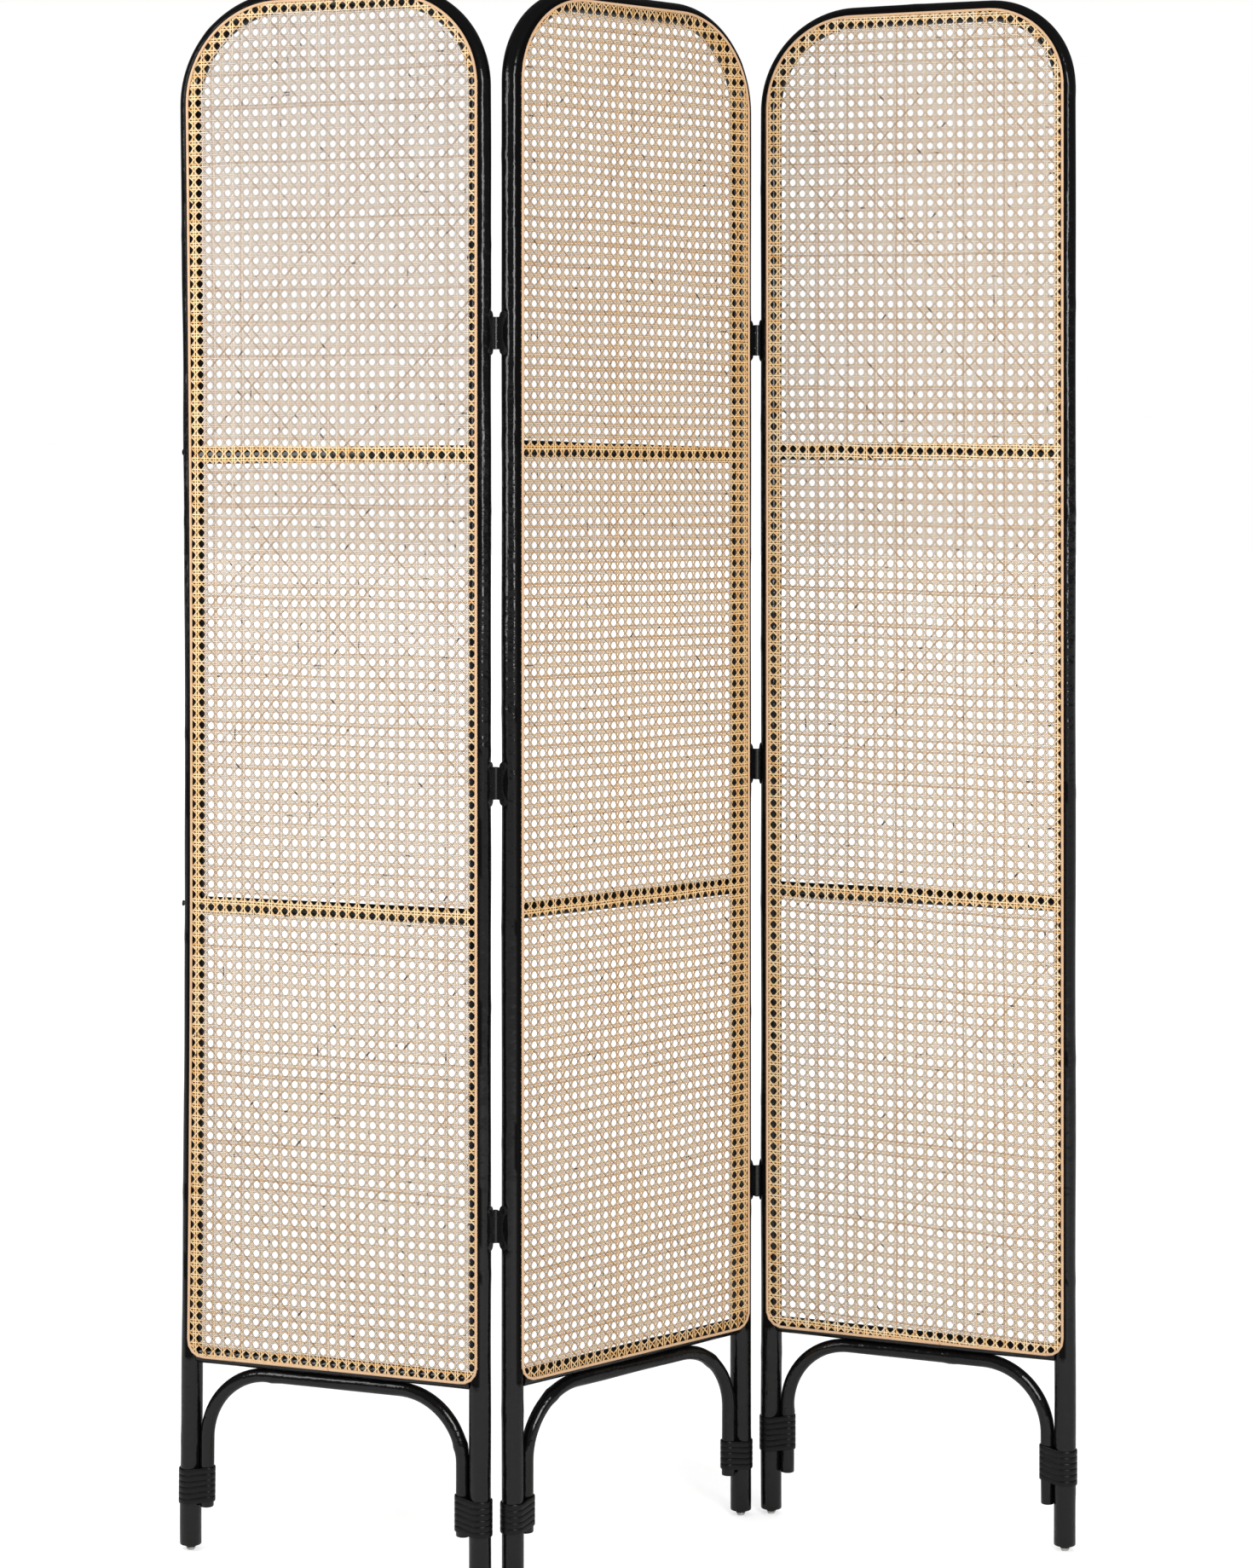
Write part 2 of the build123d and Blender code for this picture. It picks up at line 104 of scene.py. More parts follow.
def addNode(tree, kind, values=None, links=None, **settings):
    node = tree.nodes.new(kind)
    for key, value in settings.items():
        setattr(node, key, value)
    for key, value in (values or {}).items():
        node.inputs[key].default_value = value
    for key, socket in (links or {}).items():
        tree.links.new(socket, node.inputs[key])
    return node


def startMaterial(name, **values):
    material = bpy.data.materials.new(name)
    material.use_nodes = True
    shader = material.node_tree.nodes["Principled BSDF"]
    for key, value in values.items():
        shader.inputs[key.replace("_", " ")].default_value = value
    return material, material.node_tree, shader


def naturalCane():
    # split rattan skin, woven: straw to honey from strand to strand, painted shade along its edges, short
    # dark flecks; pale with painted light where light comes through from behind, golden over the black frame
    # and, as painted shade, on a panel that gets less light
    material, tree, shader = startMaterial("naturalCane", Roughness=0.55, Specular_IOR_Level=0.2)
    place = addNode(tree, "ShaderNodeAttribute", attribute_name="strandPlace")
    backedOrShaded = addNode(tree, "ShaderNodeAttribute", attribute_name="backedOrShaded")
    parts = addNode(tree, "ShaderNodeSeparateXYZ", links={0: place.outputs["Vector"]})
    toneAndShade = addNode(tree, "ShaderNodeValToRGB", links={0: parts.outputs["X"]})
    honey = addNode(tree, "ShaderNodeValToRGB", links={0: parts.outputs["X"]})
    # the first ramp is the cane painted pale with light from behind; the second is its colour over the black
    # frame
    for ramp, colours in ((toneAndShade, ("#b8a18b", "#d3c2b1", "#e4d9cd", "#ede5db")),
                          (honey, ("#e4ac66", "#fbd096", "#ffe0b0", "#ffefd2"))):
        stops = ramp.color_ramp.elements
        stops[0].color = linear(colours[0])
        stops[1].color = linear(colours[3])
        stops.new(0.15).color = linear(colours[1])
        stops.new(0.7).color = linear(colours[2])
    golden = addNode(tree, "ShaderNodeMix", data_type="RGBA",
                     links={0: backedOrShaded.outputs["Fac"], 6: toneAndShade.outputs[0], 7: honey.outputs[0]})
    # streaks about 40 mm long and half a millimetre wide
    along = addNode(tree, "ShaderNodeMapping", {"Scale": (40, 25, 1800)}, {0: place.outputs["Vector"]})
    streak = addNode(tree, "ShaderNodeTexNoise", {"Scale": 1, "Detail": 3}, {0: along.outputs[0]})
    streakShare = addNode(tree, "ShaderNodeMapRange", {1: 0.5, 2: 0.8, 3: 0, 4: 0.35},
                          {0: streak.outputs[0]})
    streaked = addNode(tree, "ShaderNodeMix", {7: linear("#a9805a")},
                       {0: streakShare.outputs[0], 6: golden.outputs[2]}, data_type="RGBA")
    # painted shade along the edges of a strand, where it turns from the light and meets the next; darkest
    # where the cane is painted as lit from behind
    edge = addNode(tree, "ShaderNodeMath", links={0: parts.outputs["Z"]}, operation="ABSOLUTE")
    edgeShadeMost = addNode(tree, "ShaderNodeMapRange", {1: 0.6, 2: 1, 3: 0.97, 4: 0.7},
                       {0: backedOrShaded.outputs["Fac"]})
    edgeShadeShare = addNode(tree, "ShaderNodeMapRange", {1: 0.3 * mm, 2: 0.75 * mm, 3: 0},
                        {0: edge.outputs[0], 4: edgeShadeMost.outputs[0]})
    edgeShaded = addNode(tree, "ShaderNodeMix", {7: linear("#33210f")},
                    {0: edgeShadeShare.outputs[0], 6: streaked.outputs[2]}, data_type="RGBA")
    # flecks about 15 mm long
    spots = addNode(tree, "ShaderNodeMapping", {"Scale": (91, 45, 0)}, {0: place.outputs["Vector"]})
    fleck = addNode(tree, "ShaderNodeTexNoise", {"Scale": 1, "Detail": 2}, {0: spots.outputs[0]})
    fleckShare = addNode(tree, "ShaderNodeMapRange", {1: 0.69, 2: 0.72, 3: 0, 4: 0.92},
                         {0: fleck.outputs[0]})
    flecked = addNode(tree, "ShaderNodeMix", {7: linear("#33251b")},
                      {0: fleckShare.outputs[0], 6: edgeShaded.outputs[2]}, data_type="RGBA")
    tree.links.new(flecked.outputs[2], shader.inputs["Base Color"])
    relief = addNode(tree, "ShaderNodeBump", {"Strength": 0.3, "Distance": 0.05 * mm},
                     {"Height": streak.outputs[0]})
    tree.links.new(relief.outputs[0], shader.inputs["Normal"])
    return material


def lacqueredRattan():
    # rattan pole sprayed black: satin, with the long fibres and small dents showing through the lacquer,
    # and dull on the flat that was planed for the cane
    material, tree, shader = startMaterial("blackLacqueredRattan", Specular_IOR_Level=0.05,
                                           Coat_Roughness=0.12, Coat_IOR=1.6)
    place = addNode(tree, "ShaderNodeAttribute", attribute_name="rodPlace")
    planed = addNode(tree, "ShaderNodeAttribute", attribute_name="planed")
    polish = addNode(tree, "ShaderNodeMapRange", {3: 0.5, 4: 0.0}, {0: planed.outputs["Fac"]})
    tree.links.new(polish.outputs[0], shader.inputs["Coat Weight"])
    fibre = addNode(tree, "ShaderNodeMapping", {"Scale": (650, 650, 16)}, {0: place.outputs["Vector"]})
    grain = addNode(tree, "ShaderNodeTexNoise", {"Scale": 1, "Detail": 4}, {0: fibre.outputs[0]})
    dent = addNode(tree, "ShaderNodeTexNoise", {"Scale": 70, "Detail": 3}, {0: place.outputs["Vector"]})
    colour = addNode(tree, "ShaderNodeMix", {6: linear("#060606"), 7: linear("#100f0f")},
                     {0: grain.outputs[0]}, data_type="RGBA")
    gloss = addNode(tree, "ShaderNodeMapRange", {1: 0.3, 2: 0.7, 3: 0.24, 4: 0.36}, {0: dent.outputs[0]})
    heights = addNode(tree, "ShaderNodeMath", {0: 0.12}, {1: grain.outputs[0], 2: dent.outputs[0]},
                      operation="MULTIPLY_ADD")
    relief = addNode(tree, "ShaderNodeBump", {"Strength": 1.0, "Distance": 1.1 * mm},
                     {"Height": heights.outputs[0]})
    tree.links.new(colour.outputs[2], shader.inputs["Base Color"])
    tree.links.new(gloss.outputs[0], shader.inputs["Roughness"])
    tree.links.new(relief.outputs[0], shader.inputs["Normal"])
    tree.links.new(relief.outputs[0], shader.inputs["Coat Normal"])
    return material


def lacqueredPeel():
    # flat rattan peel under the same black lacquer: fibres run with the winding, edges catch the light
    material, tree, shader = startMaterial("blackLacqueredPeel", Specular_IOR_Level=0.25)
    place = addNode(tree, "ShaderNodeTexCoord")
    fibre = addNode(tree, "ShaderNodeMapping", {"Scale": (35, 35, 1300)}, {0: place.outputs["Object"]})
    grain = addNode(tree, "ShaderNodeTexNoise", {"Scale": 1, "Detail": 3}, {0: fibre.outputs[0]})
    colour = addNode(tree, "ShaderNodeMix", {6: linear("#070707"), 7: linear("#141313")},
                     {0: grain.outputs[0]}, data_type="RGBA")
    gloss = addNode(tree, "ShaderNodeMapRange", {1: 0.3, 2: 0.7, 3: 0.3, 4: 0.45}, {0: grain.outputs[0]})
    relief = addNode(tree, "ShaderNodeBump", {"Strength": 0.5, "Distance": 0.15 * mm},
                     {"Height": grain.outputs[0]})
    tree.links.new(colour.outputs[2], shader.inputs["Base Color"])
    tree.links.new(gloss.outputs[0], shader.inputs["Roughness"])
    tree.links.new(relief.outputs[0], shader.inputs["Normal"])
    return material


def palePeel():
    # half-round rattan core along the edge of the cane: smooth, peach to straw, with faint cloudy grain
    material, tree, shader = startMaterial("palePeel", Roughness=0.5, Specular_IOR_Level=0.35)
    place = addNode(tree, "ShaderNodeTexCoord")
    cloud = addNode(tree, "ShaderNodeTexNoise", {"Scale": 22, "Detail": 4}, {0: place.outputs["Object"]})
    fine = addNode(tree, "ShaderNodeTexNoise", {"Scale": 420, "Detail": 2}, {0: place.outputs["Object"]})
    colour = addNode(tree, "ShaderNodeMix", {6: linear("#cba27c"), 7: linear("#e2c09c")},
                     {0: cloud.outputs[0]}, data_type="RGBA")
    worn = addNode(tree, "ShaderNodeMapRange", {1: 0.55, 2: 0.8, 3: 0, 4: 0.35}, {0: fine.outputs[0]})
    tinted = addNode(tree, "ShaderNodeMix", {7: linear("#b3855a")},
                     {0: worn.outputs[0], 6: colour.outputs[2]}, data_type="RGBA")
    relief = addNode(tree, "ShaderNodeBump", {"Strength": 0.25, "Distance": 0.1 * mm},
                     {"Height": fine.outputs[0]})
    tree.links.new(tinted.outputs[2], shader.inputs["Base Color"])
    tree.links.new(relief.outputs[0], shader.inputs["Normal"])
    return material


def paintedSteel():
    # pressed steel hinge under black paint: semi gloss with the slight orange peel of a spray coat
    material, tree, shader = startMaterial("blackPaintedSteel", Specular_IOR_Level=0.5)
    place = addNode(tree, "ShaderNodeTexCoord")
    peel = addNode(tree, "ShaderNodeTexNoise", {"Scale": 900, "Detail": 2}, {0: place.outputs["Object"]})
    colour = addNode(tree, "ShaderNodeMix", {6: linear("#121213"), 7: linear("#262628")},
                     {0: peel.outputs[0]}, data_type="RGBA")
    gloss = addNode(tree, "ShaderNodeMapRange", {1: 0.3, 2: 0.7, 3: 0.22, 4: 0.34}, {0: peel.outputs[0]})
    relief = addNode(tree, "ShaderNodeBump", {"Strength": 0.2, "Distance": 0.05 * mm},
                     {"Height": peel.outputs[0]})
    tree.links.new(colour.outputs[2], shader.inputs["Base Color"])
    tree.links.new(gloss.outputs[0], shader.inputs["Roughness"])
    tree.links.new(relief.outputs[0], shader.inputs["Normal"])
    return material


def blackenedSteel():
    # turned screws and pins, oil blackened: dark bare metal with fine turning marks
    material, tree, shader = startMaterial("blackenedSteel", Metallic=1.0)
    place = addNode(tree, "ShaderNodeTexCoord")
    marks = addNode(tree, "ShaderNodeTexNoise", {"Scale": 1500, "Detail": 2}, {0: place.outputs["Object"]})
    colour = addNode(tree, "ShaderNodeMix", {6: linear("#39393b"), 7: linear("#55565a")},
                     {0: marks.outputs[0]}, data_type="RGBA")
    gloss = addNode(tree, "ShaderNodeMapRange", {1: 0.3, 2: 0.7, 3: 0.3, 4: 0.48}, {0: marks.outputs[0]})
    tree.links.new(colour.outputs[2], shader.inputs["Base Color"])
    tree.links.new(gloss.outputs[0], shader.inputs["Roughness"])
    return material


def glidePlastic():
    # moulded nylon glide: pale grey at the tip and black higher up, with a ragged line between
    material, tree, shader = startMaterial("nylonGlide", Roughness=0.45)
    place = addNode(tree, "ShaderNodeTexCoord")
    parts = addNode(tree, "ShaderNodeSeparateXYZ", links={0: place.outputs["Object"]})
    rough = addNode(tree, "ShaderNodeTexNoise", {"Scale": 500, "Detail": 2}, {0: place.outputs["Object"]})
    edge = addNode(tree, "ShaderNodeMath", {1: 3 * mm}, {0: rough.outputs[0], 2: parts.outputs["Z"]},
                   operation="MULTIPLY_ADD")
    share = addNode(tree, "ShaderNodeMapRange", {1: 4.2 * mm, 2: 5.2 * mm, 3: 0, 4: 1},
                    {0: edge.outputs[0]})
    colour = addNode(tree, "ShaderNodeMix", {6: linear("#c6c5c1"), 7: linear("#191818")},
                     {0: share.outputs[0]}, data_type="RGBA")
    tree.links.new(colour.outputs[2], shader.inputs["Base Color"])
    return material


looks = {
    "cane": naturalCane(),
    "rattan": lacqueredRattan(),
    "peel": lacqueredPeel(),
    "binding": palePeel(),
    "hinge": paintedSteel(),
    "screw": blackenedSteel(),
    "glide": glidePlastic(),
}
print("materials made:", len(looks))


def readSpots(mesh):
    spots = np.empty(len(mesh.vertices) * 3, np.float32)
    mesh.vertices.foreach_get("co", spots)
    return spots.reshape(-1, 3)


def meshFrom(bm, name):
    mesh = bpy.data.meshes.new(name)
    bm.to_mesh(mesh)
    bm.free()
    return mesh


# heights where the free edge is true, and how far across the cane moves with it
bow = {"low": 60, "high": 1700, "rest": 60}


def bowPanel(mesh, side):
    # the free edge of a hand-bent pole draws in between its ends, and the cane goes with it
    spots = readSpots(mesh)
    swing = np.sin(np.pi * np.clip((spots[:, 2] - bow["low"]) / (bow["high"] - bow["low"]), 0, 1))
    share = np.clip((bow["rest"] - spots[:, 0]) / (bow["rest"] + poleCentre), 0, 1) ** 2
    spots[:, 0] += panels[side].get("bow", 0) * swing * share
    mesh.vertices.foreach_set("co", spots.ravel())


def finishPiece(name, mesh, side, look, node, crease=38):
    bowPanel(mesh, side)
    mesh.polygons.foreach_set("use_smooth", [True] * len(mesh.polygons))
    mesh.set_sharp_from_angle(angle=math.radians(crease))
    mesh.transform(panelMatrix(side))
    mesh.materials.append(looks[look])
    piece = bpy.data.objects.new(name, mesh)
    scene.collection.objects.link(piece)
    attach(piece, side + "_panel")
    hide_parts(node)


def cutPlane(bm, point, normal, clear=False):
    bmesh.ops.bisect_plane(bm, geom=bm.verts[:] + bm.edges[:] + bm.faces[:], dist=weld, plane_co=point,
                           plane_no=normal, clear_outer=clear)


def extrudeRing(bm, ring, step):
    made = bmesh.ops.extrude_edge_only(bm, edges=ring)["geom"]
    verts = [item for item in made if isinstance(item, bmesh.types.BMVert)]
    bmesh.ops.translate(bm, verts=verts, vec=step)
    return [item for item in made if isinstance(item, bmesh.types.BMEdge)
            and item.verts[0] in verts and item.verts[1] in verts]


# rattan rods are made straight, with their knuckles, and then bent
rods = {
    "ringStep": 6,              # mm between rings
    "nodeStep": (230, 340),     # knuckles of the rattan lie this far apart
    "nodeStart": 120,           # and start this far below the rod
    "knuckle": (0.35, 8),       # height and length of one
    "uneven": 0.28, "waves": 5, "waveStep": (90, 420), "lobes": (1, 4),
    "endRound": 1.0,
}


def pathFrom(start, heading, steps):
    # straight runs and quarter bends, always turning right; heading 0 is up; place gives a point of the path
    # and the heading there
    spans = []
    (across, height), travelled = start, 0
    for kind, size in steps:
        length = size if kind == "run" else size * math.pi / 2
        spans.append((travelled, length, kind, size, across, height, heading))
        forward, aside = (size, 0) if kind == "run" else (size, size)
        across += forward * math.sin(heading) + aside * math.cos(heading)
        height += forward * math.cos(heading) - aside * math.sin(heading)
        heading += 0 if kind == "run" else math.pi / 2
        travelled += length

    def place(s):
        begun, length, kind, size, across, height, heading = next(
            (span for span in spans if s <= span[0] + span[1]), spans[-1])
        turned = 0 if kind == "run" else (s - begun) / size
        forward, aside = s - begun, 0
        if kind == "bend":
            forward, aside = size * math.sin(turned), size * (1 - math.cos(turned))
        return (across + forward * math.sin(heading) + aside * math.cos(heading),
                height + forward * math.cos(heading) - aside * math.sin(heading), heading + turned)

    return travelled, place


def archSteps(half, low, top, bends):
    left, right = bends
    return [("run", top - left - low), ("bend", left), ("run", 2 * half - left - right), ("bend", right),
            ("run", top - right - low)]


def bentRod(length, place, radius, segments, seed, nodes=None, forward=0, knuckle=rods["knuckle"]):
    draw = np.random.default_rng(seed)
    bm = bmesh.new()
    bmesh.ops.create_cone(bm, cap_ends=True, segments=segments, radius1=radius, radius2=radius,
                          depth=length)
    bmesh.ops.translate(bm, verts=bm.verts, vec=(0, 0, length / 2))
    rims = [edge for edge in bm.edges if abs(edge.verts[0].co.z - edge.verts[1].co.z) < 0.001]
    bmesh.ops.bevel(bm, geom=rims, offset=rods["endRound"], affect="EDGES", segments=2, profile=0.5,
                    material=-1)
    sides = [edge for edge in bm.edges if abs(edge.verts[0].co.z - edge.verts[1].co.z) > length / 2]
    bmesh.ops.subdivide_edges(bm, edges=sides, cuts=int(length / rods["ringStep"]), use_grid_fill=True)
    if nodes is None:
        count = int(length / rods["nodeStep"][0]) + 1
        nodes = np.cumsum(draw.uniform(*rods["nodeStep"], count)) - rods["nodeStart"]
    waves = [(draw.uniform(*rods["waveStep"]), draw.uniform(*anyPhase), draw.integers(*rods["lobes"]),
              draw.uniform(*anyPhase)) for _ in range(rods["waves"])]
    layer = bm.verts.layers.float_vector.new("rodPlace")
    for vert in bm.verts:
        s = vert.co.z
        vert[layer] = (vert.co.x * mm, vert.co.y * mm, s * mm)
        around = math.atan2(vert.co.y, vert.co.x)
        swell = sum(knuckle[0] * math.exp(-((s - node) / knuckle[1]) ** 2) for node in nodes)
        for step, start, lobes, turned in waves:
            wave = math.sin(fullTurn * s / step + start) * math.cos(lobes * around + turned)
            swell += rods["uneven"] / 2 * wave
        x, y = vert.co.x * (1 + swell / radius), vert.co.y * (1 + swell / radius)
        along, height, heading = place(min(max(s, 0), length))
        vert.co = (along + x * math.cos(heading), y - forward, height - x * math.sin(heading))
    return bm


# one pole for each panel, with rings of points where its flats begin and end
frames = {"segments": 28, "low": 6.5, "top": 1787.5, "leafSeat": 192.8, "leafHalf": 25.3, "near": 0.01}
for side, panel in panels.items():
    steps = archSteps(poleCentre, frames["low"], frames["top"], panel["bends"])
    length, place = pathFrom((-poleCentre, frames["low"]), 0, steps)
    bm = bentRod(length, place, poleRadius, frames["segments"], panel["seed"])
    cutPlane(bm, (0, 0, caneLow), (0, 0, 1))
    for height in hingeHeights:
        cutPlane(bm, (0, 0, height - frames["leafHalf"]), (0, 0, 1))
        cutPlane(bm, (0, 0, height + frames["leafHalf"]), (0, 0, 1))
    planed = bm.verts.layers.float.new("planed")
    for vert in bm.verts:
        # planed for the cane, and let in for the hinge leaves
        if vert.co.z > caneLow - frames["near"] and vert.co.y < -caneSeat:
            vert.co.y = -caneSeat
            vert[planed] = 1
        if any(abs(vert.co.z - height) < frames["leafHalf"] + frames["near"] for height in hingeHeights):
            for edge in panel["hinges"]:
                if edge * vert.co.x > frames["leafSeat"]:
                    vert.co.x = edge * frames["leafSeat"]
    label = side + "_pole"
    finishPiece(label, meshFrom(bm, label), side, "rattan", side + "_pole_frame")
print("poles bent")

# off is how much higher a few rails sit at their left and right ends; lift raises the golden strip of cane
# on a rail, where the cane is not painted pale with light from behind, for each mm below the top
rails = {"radius": 9.5, "segments": 20, "reach": 172, "forward": 1.9, "lift": 0.0017,
         "heights": {"upper_cross": 1272, "lower_cross": 749, "bottom": 228},
         "off": {"left_upper_cross": (-3.8, -2), "middle_upper_cross": (4, -4),
                 "middle_lower_cross": (6, 5)}}
for side, panel in panels.items():
    for number, (name, height) in enumerate(rails["heights"].items()):
        length, place = pathFrom((-rails["reach"], height), math.pi / 2, [("run", 2 * rails["reach"])])
        bm = bentRod(length, place, rails["radius"], rails["segments"], panel["seed"] + 3 + number,
                     forward=rails["forward"])
        left, right = rails["off"].get(f"{side}_{name}", (0, 0))
        for vert in bm.verts:
            vert.co.y = max(vert.co.y, -caneSeat)
            vert.co.z += left + (right - left) * (vert.co.x / rails["reach"] + 1) / 2
        label = f"{side}_{name}_rod"
        finishPiece(label, meshFrom(bm, label), side, "rattan", f"{side}_{name}_rail")
print("rails set")

# one knuckle of the right arch shows on its left rod
arches = {"radius": 8, "segments": 20, "half": 160.8, "low": 52, "top": 210.4, "bend": 78,
          "knuckle": (0.9, 5),
          "nodes": {"left": (210, 470), "middle": (160, 420), "right": (72, 330)}}
for side, panel in panels.items():
    steps = archSteps(arches["half"], arches["low"], arches["top"], (arches["bend"], arches["bend"]))
    length, place = pathFrom((-arches["half"], arches["low"]), 0, steps)
    bm = bentRod(length, place, arches["radius"], arches["segments"], panel["seed"] + 7,
                 arches["nodes"][side], knuckle=arches["knuckle"])
    label = side + "_arch_rod"
    finishPiece(label, meshFrom(bm, label), side, "rattan", side + "_leg_arch")
print("arches bent")

# six-way cane: pairs up, pairs across, and a diagonal each way; heights are above the planed seat
weave = {
    "across": 12.2333,
    "uprights": {"spread": 1.4, "width": 1.9},      # spread is half the distance between a pair's strands
    "crossings": {"spread": 1.45, "width": 2.0},
    "slant": 1.85,                                  # width of a diagonal
    "crown": 0.22, "edge": 0.2,
    "middle": 0.65, "weft": 0.22,                   # pairs weave this far over and under each other
    "over": 1.12, "under": 0.2, "plateau": 2.6,
    "insets": {"side": 0.3, "low": 0.3, "top": 0.8, "corner": 0.8},
    "lowCorner": 20, "lowCuts": 4, "topCuts": 10, "cornerReach": 16,
    "columns": 33, "rows": 124,
    "shades": 2000, "otherWay": 400,                # tones drawn, and where those of the other diagonal lie
    "laySpan": 260,                                 # the lay of the rows was taken this far apart
    "wander": 0.45, "hold": 40,                     # the edges are held straight over this far
    "waves": 6, "wavesWide": (70, 260), "wavesHigh": (90, 420), "waveShare": 2.4,
}


def strand(bm, points, across, width):
    # a strand starts as a three-sided ring and is extruded from point to point
    along, height, level = points[0]
    section = ((-0.5, -weave["edge"]), (0, weave["crown"]), (0.5, -weave["edge"]))
    ring = [bm.verts.new(Vector((along, -caneSeat - level - rise, height)) + across * share * width)
            for share, rise in section]
    edges = [bm.edges.new((ring[i], ring[(i + 1) % 3])) for i in range(3)]
    for (x0, z0, l0), (x1, z1, l1) in zip(points, points[1:]):
        edges = extrudeRing(bm, edges, (x1 - x0, l0 - l1, z1 - z0))


def repeatUnit(bm, first, second):
    unit = bpy.data.objects.new("unit", meshFrom(bm, "unit"))
    scene.collection.objects.link(unit)
    for (count, step), merged in ((first, True), (second, False)):
        repeat = unit.modifiers.new("repeat", "ARRAY")
        repeat.count = count
        repeat.use_relative_offset = False
        repeat.use_constant_offset = True
        repeat.constant_offset_displace = step
        repeat.use_merge_vertices = merged
        repeat.merge_threshold = 0.001
    shaped = unit.evaluated_get(bpy.context.evaluated_depsgraph_get())
    mesh = bpy.data.meshes.new_from_object(shaped)
    bpy.data.objects.remove(unit)
    return mesh


def firstCrossing(sheet):
    # the crossing of pairs at the lower left, just outside the sheet
    p, q = weave["across"], sheet["up"]
    left = (sheet["holeColumn"] + p / 2) % p - p * math.ceil((caneHalf + p) / p)
    low = (sheet["holeRow"] + q / 2 - caneLow) % q + caneLow - q
    return left, low


def uprights(sheet):
    q, spread = sheet["up"], weave["crossings"]["spread"]
    left, low = firstCrossing(sheet)
    bm = bmesh.new()
    for way in (-1, 1):
        stations = [(-q / 2, 0), (-spread, way), (spread, -way), (q / 2, 0)]
        aside = way * weave["uprights"]["spread"]
        points = [(left + aside, low + z, weave["middle"] + rise * weave["weft"]) for z, rise in stations]
        strand(bm, points, Vector((1, 0, 0)), weave["uprights"]["width"])
    return repeatUnit(bm, (weave["rows"], (0, 0, q)), (weave["columns"], (weave["across"], 0, 0)))


def crossings(sheet):
    p, spread = weave["across"], weave["uprights"]["spread"]
    left, low = firstCrossing(sheet)
    bm = bmesh.new()
    for way in (-1, 1):
        stations = [(-p / 2, 0), (-spread, way), (spread, -way), (p / 2, 0)]
        aside = way * weave["crossings"]["spread"]
        points = [(left + x, low + aside, weave["middle"] + rise * weave["weft"]) for x, rise in stations]
        strand(bm, points, Vector((0, 0, 1)), weave["crossings"]["width"])
    return repeatUnit(bm, (weave["columns"], (p, 0, 0)), (weave["rows"], (0, 0, sheet["up"])))


def diagonals(sheet, way):
    # over the uprights and under the crossings, or the other way about
    left, low = firstCrossing(sheet)
    run = Vector((weave["across"], 0, way * sheet["up"]))
    half, flat = run.length / 2, weave["plateau"]
    levels = (weave["over"], weave["under"]) if way > 0 else (weave["under"], weave["over"])
    stations = [(-flat, 0), (flat, 0), (half - flat, 1), (half + flat, 1), (2 * half - flat, 0)]
    climb = weave["columns"] * sheet["up"]
    start = Vector((left, 0, low + sheet["up"] / 2 - (climb if way > 0 else 0)))
    spots = [(start + run.normalized() * distance, levels[kind]) for distance, kind in stations]
    bm = bmesh.new()
    strand(bm, [(spot.x, spot.z, level) for spot, level in spots],
           Vector((-run.z, 0, run.x)).normalized(), weave["slant"])
    return repeatUnit(bm, (weave["columns"], run),
                      (weave["rows"] + weave["columns"], (0, 0, sheet["up"])))


def backedOrShadedShare(x, z, side):
    # 1 where the cane lies over the pole or a rail, and at least the sheet's golden share elsewhere; below 1
    # the cane is painted pale as if light came through from behind, and the golden share is painted shade
    left, right = sheets[side]["clear"]
    top = frames["top"] - poleRadius
    inside = np.minimum(np.minimum(x - left, right - x), top - z)
    bends = panels[side]["bends"]
    for centre, way, bend in ((left, 1, bends[0]), (right, -1, bends[1])):
        radius = bend - poleRadius
        overX, overZ = way * (centre + way * radius - x), z - top + radius
        inside = np.where((overX > 0) & (overZ > 0), radius - np.hypot(overX, overZ), inside)
    for name, height in rails["heights"].items():
        off = np.interp(x, (-rails["reach"], rails["reach"]), rails["off"].get(f"{side}_{name}", (0, 0)))
        lift = rails["lift"] * (caneTop - height)
        inside = np.minimum(inside, np.abs(z - height - off - lift) - rails["radius"])
    share = np.clip(0.5 - inside / 2, 0, 1)
    return np.maximum(share, np.interp(z, (caneLow, caneTop), sheets[side]["shadedGold"])).astype(np.float32)


